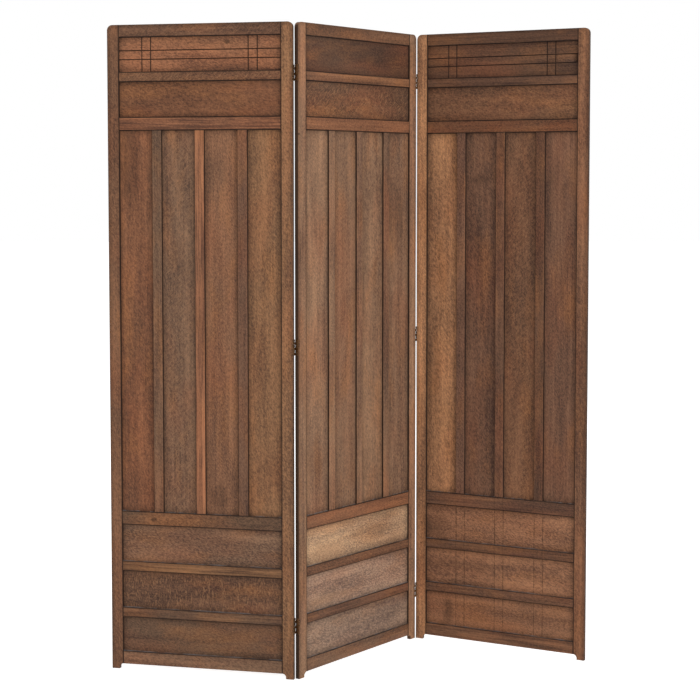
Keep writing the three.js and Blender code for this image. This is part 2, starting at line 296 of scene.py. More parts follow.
def makeOak():
    # solid oak: the grain runs along the Z of woodAt, in metres, whichever way the piece lies
    s = Shading("fumedOak")
    at = s.attribute("woodAt").outputs["Vector"]
    face = s.attribute("faceAt").outputs["Vector"]
    tone = s.attribute("tone").outputs["Color"]
    shadedCrease = s.attribute("shadedCrease").outputs["Fac"]
    figure = s.parts(s.attribute("figure").outputs["Vector"])
    grainy, slanted, flamed = figure

    # long and short grain
    cloud = s.swing(s.noise(s.stretch(at, (16.0, 16.0, 2.4)), detail=3.0, distortion=0.8), 0.17)
    streak = s.swing(s.noise(s.stretch(at, (230.0, 230.0, 6.0)), detail=3.0, roughness=0.6, distortion=0.4), 0.2)
    broad = s.swing(s.noise(s.stretch(at, (64.0, 64.0, 1.8)), detail=2.0, roughness=0.6, distortion=1.0), 0.2)
    leaning = s.lean(at, 20.0)
    coarse = s.swing(s.noise(s.stretch(leaning, (290.0, 290.0, 130.0)), detail=2.0, roughness=0.6), 0.16)
    fine = s.swing(s.noise(s.stretch(leaning, (700.0, 700.0, 260.0)), detail=2.0, roughness=0.6), 0.16)
    fineness = s.span(grainy, 0.5, 2.0, 1.1, 0.45)
    pore = s.noise(s.stretch(at, (1100.0, 1100.0, 60.0)), detail=1.0)
    poreMark = s.span(pore, 0.55, 0.70)

    amount = s.math("MULTIPLY", cloud, oak["cloud"])
    for layer, weight in ((streak, oak["streak"]), (broad, 0.7 * oak["streak"])):
        amount = s.math("ADD", amount, s.math("MULTIPLY", s.math("MULTIPLY", layer, grainy), weight))
    for layer, weight in ((coarse, oak["speckle"]), (fine, 0.9 * oak["speckle"])):
        amount = s.math("ADD", amount, s.math("MULTIPLY", s.math("MULTIPLY", layer, fineness), weight))
    amount = s.math("SUBTRACT", amount, s.math("MULTIPLY", poreMark, oak["pore"]))
    thin = s.noise(s.stretch(at, (560.0, 560.0, 8.0)), detail=2.0, roughness=0.6, distortion=0.7)
    thinMark = s.math("MULTIPLY", s.span(thin, 0.54, 0.64, smooth=True), s.span(grainy, 0.8, 1.8, 0.1, 1.0))
    amount = s.math("SUBTRACT", amount, s.math("MULTIPLY", thinMark, oak["line"]))

    # quartered faces: pale strokes that slant across a rail, and pale flames in a panel
    slant = s.stretch(s.lean(at, -46.0), (470.0, 470.0, 72.0))
    stroke = s.noise(slant, detail=2.0, roughness=0.6, distortion=0.5)
    strokeMark = s.math("MULTIPLY", s.span(stroke, 0.50, 0.66, smooth=True), slanted)
    flame = s.noise(s.stretch(face, (300.0, 300.0, 82.0)), detail=2.0, roughness=0.6, distortion=0.9)
    flameMark = s.math("MULTIPLY", s.span(flame, 0.50, 0.66, smooth=True), flamed)
    flecked = s.math("MAXIMUM", strokeMark, flameMark)

    # each piece's tone, with redder, golden and greyer patches
    blush = s.noise(s.stretch(at, (11.0, 11.0, 4.0)), detail=2.0)
    gild = s.noise(s.stretch(at, (15.0, 15.0, 5.0)), detail=3.0, roughness=0.6)
    stain = s.noise(s.stretch(at, (13.0, 13.0, 4.2)), detail=4.0, roughness=0.62, distortion=0.5)
    color = s.blend(s.span(blush, 0.45, 0.75, 0.0, 0.35), tone, oak["redShade"])
    color = s.blend(s.span(gild, 0.50, 0.72, 0.0, oak["glow"]), color, oak["goldShade"])
    color = s.blend(s.span(stain, 0.50, 0.72, 0.0, oak["stain"]), color, oak["greyShade"])
    dark = s.blend(1.0, color, oak["darkSide"], mode="MULTIPLY")
    light = s.blend(1.0, color, oak["lightSide"], mode="MULTIPLY")
    color = s.blend(s.span(amount, -1.0, 1.0), dark, light)
    color = s.blend(s.math("MULTIPLY", flecked, oak["fleck"]), color, oak["fleckColor"])

    # how far each point lies inside the joints round its piece
    fromLow = s.vector("SUBTRACT", face, s.attribute("lowEdge").outputs["Vector"])
    fromHigh = s.vector("SUBTRACT", s.attribute("highEdge").outputs["Vector"], face)
    patchy = s.noise(s.stretch(at, (70.0, 70.0, 26.0)), detail=3.0, roughness=0.6)
    near = s.parts(s.vector("MINIMUM", fromLow, fromHigh))
    wander = s.math("MULTIPLY", s.math("SUBTRACT", patchy, 0.5), 0.012)
    # painted shade: darker within a few centimetres of the joints, most on the recessed panels, and along the
    # outside of the leaf
    fade = [s.span(s.math("ADD", gap, wander), 0.0, 0.026, 1.0, 0.0) for gap in (near[0], near[2])]
    fade = [s.math("POWER", side, 2.0) for side in fade]
    panelled = s.attribute("panelled").outputs["Fac"]
    depth = s.span(panelled, 0.0, 1.0, oak["frameShade"], oak["shade"])
    paintedShade = s.math("MULTIPLY", s.math("ADD", fade[0], fade[1]), depth, clamp=True)
    rim = s.attribute("rimEdge").outputs["Vector"]
    fromRim = s.parts(s.vector("SUBTRACT", rim, s.vector("ABSOLUTE", face, face)))
    rimGap = s.math("ADD", s.math("MINIMUM", fromRim[0], fromRim[2]), s.math("MULTIPLY", wander, 0.5))
    rimmed = s.span(rimGap, 0.0, oak["rimWidth"], oak["rimShade"], 0.0)
    paintedShade = s.math("MAXIMUM", paintedShade, rimmed)
    color = s.blend(paintedShade, color, oak["grimeAndShadeColor"])

    # one mark for each piece that has one: a dark stain, or a pale patch, which on the middle leaf's low panels
    # is partly painted sheen
    fromMark = s.vector("DIVIDE", s.vector("SUBTRACT", face, s.attribute("markAt").outputs["Vector"]),
                        s.attribute("markSize").outputs["Vector"])
    markReach = s.vector("LENGTH", fromMark, fromMark, output="Value")
    markGap = s.math("ADD", markReach, s.math("MULTIPLY", wander, 60.0))
    markDepth = s.attribute("markDepth").outputs["Fac"]
    marked = s.math("MULTIPLY", s.span(markGap, 1.0, 0.35, smooth=True), markDepth)
    color = s.blend(s.math("MAXIMUM", marked, 0.0), color, oak["grimeAndShadeColor"])
    color = s.blend(s.math("MAXIMUM", s.math("MULTIPLY", marked, -1.0), 0.0), color, oak["wearAndSheenColor"])

    # traces of old uprights
    upright = s.math("PINGPONG", s.parts(face)[0], oak["uprightPitch"] / 2)
    trace = s.math("ABSOLUTE", s.math("SUBTRACT", upright, oak["uprightWidth"] / 2))
    traced = s.math("MULTIPLY", s.span(trace, 0.0017, 0.0004), s.span(patchy, 0.36, 0.56, 0.25, 1.0))
    traced = s.math("MULTIPLY", traced, s.attribute("ghost").outputs["Fac"])
    color = s.blend(s.math("MULTIPLY", traced, oak["ghost"]), color, oak["grimeAndShadeColor"])

    # pale dust lies on the ledges, and at the foot of the low panels above them
    height = s.parts(face)[2]
    lowDown = s.math("MULTIPLY", s.span(height, 0.9, 0.5), panelled)
    foot = s.math("MULTIPLY", s.span(s.parts(fromLow)[2], 0.0028, 0.0014), lowDown)
    ledge = s.math("MAXIMUM", s.attribute("ledge").outputs["Fac"], foot)
    ledge = s.math("MULTIPLY", ledge, s.span(patchy, 0.44, 0.64, 0.05, 0.70))

    # dark lines in the joints, partly dirt and partly painted shade, painted shade on the creased faces, and
    # arrises rubbed pale
    gap = s.math("MINIMUM", near[0], near[2])
    line = s.span(gap, oak["jointWidth"], 0.45 * oak["jointWidth"], 0.0, 0.93, smooth=True)
    line = s.math("MULTIPLY", line, s.math("SUBTRACT", 1.0, foot))
    color = s.blend(s.math("MAXIMUM", line, s.math("MULTIPLY", shadedCrease, 0.88)), color, oak["grimeAndShadeColor"])
    rubbed = s.noise(s.stretch(at, (34.0, 34.0, 9.0)), detail=3.0, roughness=0.7)
    wear = s.math("MULTIPLY", s.attribute("arris").outputs["Fac"], s.span(rubbed, 0.5, 0.62, 0.0, 0.55))
    color = s.blend(wear, color, oak["wearAndSheenColor"])
    color = s.blend(ledge, color, oak["dustColor"])
    s.join(color, s.surface.inputs["Base Color"])

    rough = s.math("ADD", oak["roughness"], s.math("MULTIPLY", fine, 0.08))
    rough = s.math("SUBTRACT", rough, s.math("MULTIPLY", flecked, 0.08))
    rough = s.math("ADD", rough, s.math("MULTIPLY", s.math("MAXIMUM", paintedShade, ledge), 0.25), clamp=True)
    s.join(rough, s.surface.inputs["Roughness"])
    s.surface.inputs["Specular IOR Level"].default_value = 0.16
    relief = s.math("SUBTRACT", s.math("MULTIPLY", streak, 0.3), poreMark)
    s.join(s.bump(relief, oak["poreDepth"], 0.8), s.surface.inputs["Normal"])
    return s.material


brass = {
    "color": srgb(98, 69, 46),
    "dark": srgb(46, 34, 26),
    "bright": srgb(172, 122, 74),
    "metallic": 0.7,
    "roughness": 0.46,
}


def makeBrass():
    # old brass: dark brown, with painted highlights on its sharp edges and in patches
    s = Shading("oldBrass")
    at = s.add("ShaderNodeTexCoord").outputs["Object"]
    patch = s.noise(at, scale=260.0, detail=3.0, roughness=0.6)
    speck = s.noise(at, scale=1500.0, detail=2.0)
    color = s.blend(s.span(patch, 0.35, 0.65), brass["dark"], brass["color"])
    # painted highlights: bright on sharp edges and in some patches
    edge = s.span(s.add("ShaderNodeNewGeometry").outputs["Pointiness"], 0.52, 0.62)
    paintedGlint = s.math("MULTIPLY", edge, s.span(speck, 0.4, 0.6))
    paintedGlint = s.math("MAXIMUM", paintedGlint, s.span(patch, 0.62, 0.74, 0.0, 0.5))
    color = s.blend(paintedGlint, color, brass["bright"])
    s.join(color, s.surface.inputs["Base Color"])
    s.surface.inputs["Metallic"].default_value = brass["metallic"]
    s.join(s.math("ADD", brass["roughness"], s.math("MULTIPLY", s.math("SUBTRACT", speck, patch), 0.4)),
           s.surface.inputs["Roughness"])
    s.join(s.bump(speck, 0.00006, 0.6), s.surface.inputs["Normal"])
    return s.material


oakMaterial = makeOak()
brassMaterial = makeBrass()
print("materials ready")


# ---- repeated details grow from points

class Growth:
    # a Geometry Nodes tree with named inputs, and the mesh that it makes from one
    kinds = {int: "NodeSocketInt", float: "NodeSocketFloat"}

    def __init__(self, name, sizes):
        self.name = name
        self.tree = bpy.data.node_groups.new(name, "GeometryNodeTree")
        self.tree.is_modifier = True
        self.tree.interface.new_socket("Geometry", in_out="INPUT", socket_type="NodeSocketGeometry")
        self.keys = {}
        for label, value in sizes.items():
            kind = self.kinds.get(type(value), "NodeSocketObject")
            socket = self.tree.interface.new_socket(label, in_out="INPUT", socket_type=kind)
            self.keys[label] = socket.identifier
        self.tree.interface.new_socket("Geometry", in_out="OUTPUT", socket_type="NodeSocketGeometry")
        self.sizes = sizes
        self.given = self.tree.nodes.new("NodeGroupInput").outputs

    def add(self, kind, inputs=None, **settings):
        # inputs: socket name or number, and the output or the value that it takes
        node = self.tree.nodes.new(kind)
        for key, value in settings.items():
            setattr(node, key, value)
        for key, value in (inputs or {}).items():
            if hasattr(value, "is_output"):
                self.tree.links.new(value, node.inputs[key])
            else:
                node.inputs[key].default_value = value
        return node.outputs

    def math(self, operation, first, second):
        return self.add("ShaderNodeMath", {0: first, 1: second}, operation=operation)[0]

    def finish(self, geometry, material):
        real = self.add("GeometryNodeRealizeInstances", {0: geometry})[0]
        painted = self.add("GeometryNodeSetMaterial", {"Geometry": real, "Material": material})[0]
        self.add("NodeGroupOutput", {0: painted})

    def grow(self, source):
        carrier = bpy.data.objects.new(self.name + "_source", source)
        bpy.context.scene.collection.objects.link(carrier)
        modifier = carrier.modifiers.new(self.name, "NODES")
        modifier.node_group = self.tree
        for label, key in self.keys.items():
            modifier[key] = self.sizes[label]
        carrier.update_tag()
        grown = carrier.evaluated_get(bpy.context.evaluated_depsgraph_get())
        mesh = bpy.data.meshes.new_from_object(grown)
        carrier.modifiers.clear()
        bpy.data.objects.remove(carrier)
        return mesh


def store(mesh, name, kind, domain, field, values):
    mesh.attributes.new(name, kind, domain).data.foreach_set(field, values)


def pointMesh(name, places, facing=None):
    mesh = bpy.data.meshes.new(name)
    mesh.from_pydata([tuple(place) for place in places], [], [])
    if facing:
        store(mesh, "facing", "FLOAT_VECTOR", "POINT", "vector", [number for way in facing for number in way])
    return mesh


nailHole = {"Radius": 0.0016, "Depth": 0.006, "Sides": 12}
nailPlaces = {"piece": ("right_leaf", "left_stile"), "x": -0.2335,
              "heights": (0.274, 0.291, 0.334, 0.396, 0.524)}


def pierce(shape):
    # old nail holes go into the front of a stile
    whole = bpy.data.meshes.new("wholeStile")
    shape.to_mesh(whole)
    front = min(vertex.co.y for vertex in shape.verts)
    places = [(nailPlaces["x"], front, height) for height in nailPlaces["heights"]]
    holes = bpy.data.objects.new("holePlaces", pointMesh("holePoints", places))
    bpy.context.scene.collection.objects.link(holes)
    g = Growth("nailHoles", {"Holes": holes, **nailHole})
    drill = g.add("GeometryNodeMeshCylinder", {"Vertices": g.given["Sides"], "Radius": g.given["Radius"],
                                              "Depth": g.given["Depth"]})["Mesh"]
    drill = g.add("GeometryNodeTransform", {"Geometry": drill, "Rotation": (math.pi / 2, 0.0, 0.0)})[0]
    points = g.add("GeometryNodeObjectInfo", {"Object": g.given["Holes"]})["Geometry"]
    drills = g.add("GeometryNodeInstanceOnPoints", {"Points": points, "Instance": drill})[0]
    drills = g.add("GeometryNodeRealizeInstances", {0: drills})[0]
    pierced = g.add("GeometryNodeMeshBoolean", {0: g.given["Geometry"], 1: drills},
                    operation="DIFFERENCE", solver="EXACT")[0]
    g.finish(pierced, oakMaterial)
    made = g.grow(whole)
    bpy.data.objects.remove(holes)
    shape.clear()
    shape.from_mesh(made)


def inNailHole(place):
    near = min(abs(place.z - height) for height in nailPlaces["heights"])
    return abs(place.x - nailPlaces["x"]) < nailHole["Radius"] and near < nailHole["Radius"]


# ---- leaves: each CAD piece of wood is copied, eased along its arrises and given its own grain

wood = {
    "arris": 0.0004,        # how far the sharp edges are eased
    "arrisSteps": 2,
    "weld": 0.00001,
    "farEdge": 3.0,         # stands in for an edge that has no joint
    "seed": 11,
}

# tones as the eye names them, and how light each piece is against its tone, partly its own tone and partly
# painted light that evens out how the lamps light each leaf
tones = {
    "mid": srgb(126, 90, 68),
    "golden": srgb(138, 101, 73),
    "red": srgb(130, 88, 64),
    "grey": srgb(122, 94, 75),
    "pale": srgb(142, 110, 87),
    "dark": srgb(106, 77, 61),
    "umber": srgb(96, 69, 54),
    "straw": srgb(162, 133, 106),
    "ash": srgb(138, 115, 99),
}

# piece: tone, lightness, long grain, slanted strokes, flames
leafLooks = {
    "left_leaf": {
        "left_stile": ("mid", 0.98, 0.8, 0.1, 0.0), "right_stile": ("golden", 1.06, 0.8, 0.1, 0.0),
        "top_rail": ("dark", 1.0, 0.8, 0.7, 0.0), "frieze_rail": ("mid", 0.92, 0.5, 1.0, 0.0),
        "upper_rail": ("red", 1.18, 1.8, 0.0, 0.0), "lower_rail": ("grey", 0.80, 0.6, 0.4, 0.0),
        "base_rail_upper": ("golden", 0.94, 2.0, 0.0, 0.0), "base_rail_lower": ("grey", 0.9, 1.6, 0.0, 0.0),
        "bottom_rail": ("grey", 1.06, 0.8, 0.1, 0.0), "top_panel": ("red", 1.13, 0.6, 0.1, 0.0),
        "frieze_panel": ("red", 0.9, 0.3, 0.0, 0.2), "base_panel_1": ("grey", 1.04, 0.3, 0.0, 0.0),
        "base_panel_2": ("dark", 0.93, 0.3, 0.0, 1.0), "base_panel_3": ("grey", 0.87, 0.4, 0.0, 0.0),
        "board_1": ("red", 1.02, 0.9, 0.1, 0.0), "board_2": ("grey", 1.0, 0.9, 0.7, 0.0),
        "board_3": ("mid", 1.05, 0.8, 0.3, 0.1), "board_4": ("golden", 0.98, 0.8, 0.3, 0.0),
        "muntin_1": ("grey", 0.91, 1.0, 0.2, 0.0), "muntin_2": ("red", 1.17, 2.0, 0.1, 0.0),
        "muntin_3": ("dark", 1.02, 0.9, 0.0, 0.0),
    },
    "middle_leaf": {
        "left_stile": ("pale", 1.0, 1.0, 0.2, 0.0), "right_stile": ("pale", 1.04, 1.0, 0.2, 0.0),
        "top_rail": ("mid", 0.84, 1.0, 0.3, 0.0), "frieze_rail": ("mid", 0.96, 1.4, 0.4, 0.0),
        "upper_rail": ("red", 0.98, 1.0, 0.3, 0.0), "lower_rail": ("red", 1.0, 1.0, 0.2, 0.0),
        "base_rail_upper": ("mid", 1.0, 1.2, 0.1, 0.0), "base_rail_lower": ("dark", 1.02, 1.3, 0.0, 0.0),
        "bottom_rail": ("grey", 0.98, 1.0, 0.5, 0.0), "top_panel": ("umber", 0.87, 0.3, 0.0, 0.0),
        "frieze_panel": ("dark", 0.84, 0.5, 1.0, 0.3), "base_panel_1": ("straw", 1.12, 0.5, 0.0, 0.6),
        "base_panel_2": ("ash", 1.17, 0.5, 0.0, 0.5), "base_panel_3": ("ash", 1.08, 0.5, 0.0, 0.2),
        "board_1": ("pale", 0.99, 0.9, 0.2, 0.0), "board_2": ("grey", 1.0, 0.9, 0.7, 0.0),
        "board_3": ("pale", 0.94, 0.9, 0.4, 0.0), "board_4": ("grey", 1.04, 0.9, 0.5, 0.0),
        "muntin_1": ("pale", 0.94, 1.0, 0.1, 0.0), "muntin_2": ("grey", 1.05, 1.2, 0.2, 0.0),
        "muntin_3": ("grey", 0.97, 1.0, 0.1, 0.0),
    },
    "right_leaf": {
        "left_stile": ("golden", 1.34, 0.9, 0.1, 0.0), "right_stile": ("mid", 1.08, 0.9, 0.1, 0.0),
        "top_rail": ("umber", 0.99, 1.5, 0.0, 0.0), "frieze_rail": ("dark", 1.0, 1.6, 0.1, 0.0),
        "upper_rail": ("red", 0.87, 0.9, 0.4, 0.0), "lower_rail": ("dark", 1.04, 1.2, 0.0, 0.0),
        "base_rail_upper": ("dark", 1.0, 1.3, 0.0, 0.0), "base_rail_lower": ("dark", 1.08, 1.3, 0.0, 0.0),
        "bottom_rail": ("mid", 1.02, 1.8, 0.1, 0.0), "top_panel": ("umber", 0.98, 1.1, 0.1, 0.0),
        "frieze_panel": ("mid", 0.92, 0.4, 0.2, 0.5), "base_panel_1": ("mid", 1.2, 0.5, 0.0, 0.2),
        "base_panel_2": ("mid", 1.18, 0.5, 0.0, 0.3), "base_panel_3": ("mid", 1.13, 0.5, 0.0, 0.2),
        "board_1": ("golden", 1.23, 0.8, 0.1, 0.0), "board_2": ("dark", 1.07, 0.7, 0.1, 0.0),
        "board_3": ("mid", 0.95, 0.7, 0.6, 0.0), "board_4": ("dark", 1.12, 1.1, 0.2, 0.0),
        "muntin_1": ("dark", 1.2, 0.8, 0.0, 0.0), "muntin_2": ("dark", 1.02, 0.9, 0.0, 0.0),
        "muntin_3": ("umber", 1.03, 0.8, 0.1, 0.0),
    },
}

# stains, and pale patches that are partly painted sheen on the middle leaf's low panels: piece: where on the
# leaf's face, how far across and up, and how dark, or pale if below 0
stainsAndSheen = {
    ("left_leaf", "board_1"): (-0.19, 1.34, 0.034, 0.16, 0.30),
    ("left_leaf", "board_2"): (-0.07, 0.41, 0.020, 0.010, 0.55),
    ("left_leaf", "board_3"): (0.05, 0.47, 0.034, 0.05, 0.36),
    ("left_leaf", "lower_rail"): (-0.13, 0.405, 0.012, 0.008, 0.60),
    ("left_leaf", "top_panel"): (0.075, 1.652, 0.012, 0.007, 0.60),
    ("left_leaf", "right_stile"): (0.232, 0.43, 0.007, 0.0022, -0.80),
    ("middle_leaf", "left_stile"): (-0.246, 1.415, 0.004, 0.004, 0.85),
    ("middle_leaf", "base_panel_1"): (-0.13, 0.315, 0.10, 0.034, -0.35),
    ("middle_leaf", "base_panel_2"): (-0.10, 0.19, 0.13, 0.016, -0.30),
    ("middle_leaf", "board_4"): (0.16, 1.20, 0.05, 0.14, 0.22),
    ("right_leaf", "base_panel_1"): (-0.19, 0.33, 0.06, 0.05, 0.36),
    ("right_leaf", "base_panel_2"): (-0.12, 0.222, 0.14, 0.020, 0.26),
    ("right_leaf", "base_panel_3"): (-0.15, 0.09, 0.02, 0.05, 0.40),
    ("right_leaf", "board_2"): (-0.06, 1.30, 0.05, 0.02, 0.28),
    ("right_leaf", "board_1"): (-0.20, 0.70, 0.030, 0.30, 0.20),
}
tracedPieces = {
    "base_panel_1": 1.0,
    "base_panel_2": 0.9,
    "base_panel_3": 0.8,
    "base_rail_upper": 0.5,
    "lower_rail": 0.4,
}
railNames = ("top_rail", "frieze_rail", "base_rail_upper", "base_rail_lower", "bottom_rail")
dice = random.Random(wood["seed"])


def cadShape(node, toLocal):
    # the node's solid in its leaf's own straight frame, with flat faces made whole
    shape = bmesh.new()
    shape.from_mesh(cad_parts[node].data)
    shape.transform(toLocal)
    bmesh.ops.remove_doubles(shape, verts=shape.verts, dist=wood["weld"])
    bmesh.ops.dissolve_limit(shape, angle_limit=math.radians(1.0), verts=shape.verts, edges=shape.edges)
    return shape


def extent(shape):
    low = Vector([min(v.co[i] for v in shape.verts) for i in range(3)])
    high = Vector([max(v.co[i] for v in shape.verts) for i in range(3)])
    return low, high


def leafPlace(leaf):
    # turns and shifts the row frame to the leaf's: X across, front towards -Y, X = 0 in the middle
    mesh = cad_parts[leaf + "_top_rail"].data
    broad = max(mesh.polygons, key=lambda face: face.area * (face.normal.y < 0.0))
    turn = math.atan2(broad.normal.x, -broad.normal.y)
    straight = Matrix.Rotation(-turn, 4, "Z")
    points = []
    for side in ("left", "right"):
        points += [straight @ v.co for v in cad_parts[f"{leaf}_{side}_stile"].data.vertices]
    xs = [p.x for p in points]
    ys = [p.y for p in points]
    middle = Vector(((min(xs) + max(xs)) / 2, (min(ys) + max(ys)) / 2, 0.0))
    return Matrix.Translation(-middle) @ straight


def keepBetween(shape, axis, low, high):
    # cuts the solid at two planes, keeps what lies between and closes the cuts
    for place, sign in ((low, -1.0), (high, 1.0)):
        if place is None:
            continue
        normal = Vector((0.0, 0.0, 0.0))
        normal[axis] = sign
        point = Vector((0.0, 0.0, 0.0))
        point[axis] = place
        geometry = list(shape.verts) + list(shape.edges) + list(shape.faces)
        cut = bmesh.ops.bisect_plane(shape, geom=geometry, dist=1e-7, plane_co=point, plane_no=normal,
                                     clear_outer=True)
        edges = [e for e in cut["geom_cut"] if isinstance(e, bmesh.types.BMEdge)]
        bmesh.ops.holes_fill(shape, edges=edges, sides=0)
    return shape


def easeArrises(shape, low, high):
    # rounds the edges round the front and back faces
    def broad(face):
        y = face.verts[0].co.y
        return abs(face.normal.y) > 0.99 and min(abs(y - low.y), abs(y - high.y)) < 1e-5
    edges = []
    for edge in shape.edges:
        faces = edge.link_faces
        if len(faces) == 2 and broad(faces[0]) != broad(faces[1]):
            side = faces[1] if broad(faces[0]) else faces[0]
            if abs(side.normal.y) < 0.1 and edge.is_convex:
                edges.append(edge)
    made = bmesh.ops.bevel(shape, geom=edges, offset=wood["arris"], offset_type="OFFSET",
                           segments=wood["arrisSteps"], profile=0.6, affect="EDGES", clamp_overlap=True)
    return {face for face in made["faces"] if abs(face.normal.y) < 0.99}


def jointEdges(leaf, piece, low, high):
    # where a piece meets its neighbours, as (x low, x high, z low, z high) on its face
    inner, far = leafSizes[leaf]["innerX"], wood["farEdge"]
    if "stile" in piece:
        return (-far, high.x, -far, far) if high.x < 0.0 else (low.x, far, -far, far)
    if "muntin" in piece:
        return (low.x, high.x, low.z, high.z)
    return (-inner, inner, -far if piece == "bottom_rail" else low.z, far if piece == "top_rail" else high.z)


def finishWood(leaf, piece, shape, toLocal, opening=None):
    # opening: the part of a panel that shows, as (x low, x high, z low, z high)
    tone, light, *figure = leafLooks[leaf][piece]
    low, high = extent(shape)
    upright = "stile" in piece or "muntin" in piece or "board" in piece
    x0, x1, z0, z1 = opening or jointEdges(leaf, piece, low, high)
    easedMark = shape.faces.layers.int.new("eased")
    for face in () if opening else easeArrises(shape, low, high):
        face[easedMark] = 1
    if (leaf, piece) == nailPlaces["piece"]:
        pierce(shape)
    shape.normal_update()

    mesh = bpy.data.meshes.new(f"{leaf}_{piece}")
    shape.to_mesh(mesh)
    count = len(mesh.vertices)
    offset = Vector([dice.uniform(-20.0, 20.0) for _ in range(3)])
    grainAt, faceAt = [], []
    for vertex in mesh.vertices:
        x, y, z = vertex.co
        grainAt.extend(offset + (Vector((x, y, z)) if upright else Vector((z, y, x))))
        faceAt.extend((x, y, z))
    half, top = leafSizes[leaf]["outerX"], leafSizes[leaf]["top"]
    isEased = [bool(mark.value) for mark in mesh.attributes["eased"].data]
    # painted shade, with some dirt in the joints, on faces that lie in shade: eased arrises, less on the leaf's
    # outside, the stile's edge face, hinge seats, muntin sides, incised grooves and nail holes
    shadedCreaseAt = []
    for eased, face in zip(isEased, mesh.polygons):
        outside = abs(abs(face.center.x) - half) < 0.004 or not 0.016 < face.center.z < top - 0.016
        incised = bool(opening) and 0.2 < abs(face.normal.y) < 0.95
        edgeFace = "stile" in piece and abs(face.normal.x) > 0.9
        seat = "stile" in piece and abs(face.normal.z) > 0.9 and 0.05 < face.center.z < top - 0.05
        barSide = "muntin" in piece and abs(face.normal.x) > 0.9
        bored = (leaf, piece) == nailPlaces["piece"] and inNailHole(face.center)
        if eased:
            shadedCreaseAt.append(0.5 if outside else 1.0)
        else:
            shadedCreaseAt.append(0.75 if edgeFace else 1.0 if seat or barSide or incised or bored else 0.0)
    mesh.attributes.remove(mesh.attributes["eased"])
    # the tone scaled by the piece's lightness, which is partly painted light
    color = [channel * light ** 2.2 for channel in tones[tone]] + [1.0]
    store(mesh, "woodAt", "FLOAT_VECTOR", "POINT", "vector", grainAt)
    store(mesh, "faceAt", "FLOAT_VECTOR", "POINT", "vector", faceAt)
    store(mesh, "lowEdge", "FLOAT_VECTOR", "POINT", "vector", (x0, -wood["farEdge"], z0) * count)
    store(mesh, "highEdge", "FLOAT_VECTOR", "POINT", "vector", (x1, wood["farEdge"], z1) * count)
    store(mesh, "figure", "FLOAT_VECTOR", "POINT", "vector", figure * count)
    store(mesh, "tone", "FLOAT_COLOR", "POINT", "color", color * count)
    store(mesh, "rimEdge", "FLOAT_VECTOR", "POINT", "vector", (half, wood["farEdge"], top) * count)
    store(mesh, "panelled", "FLOAT", "POINT", "value", [1.0 if opening else 0.0] * count)
    markX, markZ, reachX, reachZ, depth = stainsAndSheen.get((leaf, piece), (0.0, 0.0, 1.0, 1.0, 0.0))
    far = 100.0
    store(mesh, "markAt", "FLOAT_VECTOR", "POINT", "vector", (markX, 0.0, markZ) * count)
    store(mesh, "markSize", "FLOAT_VECTOR", "POINT", "vector", (reachX, far, reachZ) * count)
    store(mesh, "markDepth", "FLOAT", "POINT", "value", [depth] * count)
    ghost = tracedPieces.get(piece, 0.0) if leaf == "right_leaf" else 0.0
    store(mesh, "ghost", "FLOAT", "POINT", "value", [ghost] * count)
    store(mesh, "ledge", "FLOAT", "FACE", "value", [float(face.normal.z > 0.95) for face in mesh.polygons])
    store(mesh, "shadedCrease", "FLOAT", "FACE", "value", shadedCreaseAt)
    store(mesh, "arris", "FLOAT", "FACE", "value", [float(eased) for eased in isEased])
    mesh.transform(toLocal.inverted())
    mesh.materials.append(oakMaterial)
    made = bpy.data.objects.new(f"{leaf}_{piece}_wood", mesh)
    bpy.context.scene.collection.objects.link(made)
    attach(made, leaf)
    shape.free()
    return made


leafSizes = {}


